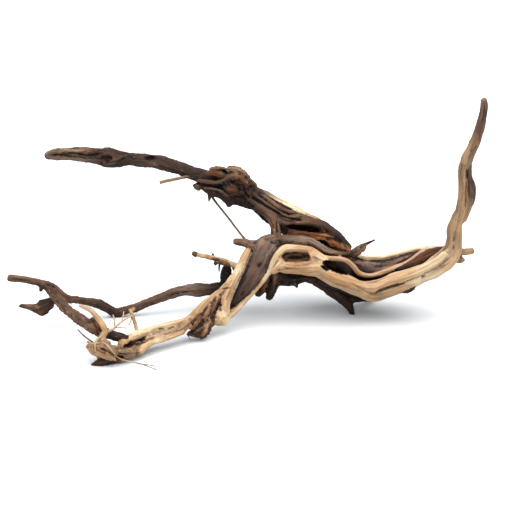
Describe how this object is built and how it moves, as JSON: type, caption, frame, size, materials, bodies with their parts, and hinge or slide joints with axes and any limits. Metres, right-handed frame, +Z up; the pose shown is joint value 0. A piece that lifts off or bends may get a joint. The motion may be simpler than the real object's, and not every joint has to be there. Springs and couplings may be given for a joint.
{
  "type": "satung driftwood root",
  "caption": "Gnarled branching driftwood root with pale ridges, a tall upright limb and a long dark upper limb, lying on a flat surface.",
  "frame": {"origin": "on the surface that the root lies on, under the middle of its bounding box", "axes": "+X along the root's length towards the tall upright limb, +Z up, -Y towards the viewer of the picture"},
  "size_m": [0.4668, 0.2037, 0.2221],
  "materials": {
    "wood": "weathered, partly stripped to pale wood"
  },
  "bodies": {
    "root": {"satung_wood": "wood"}
  },
  "joints": []
}
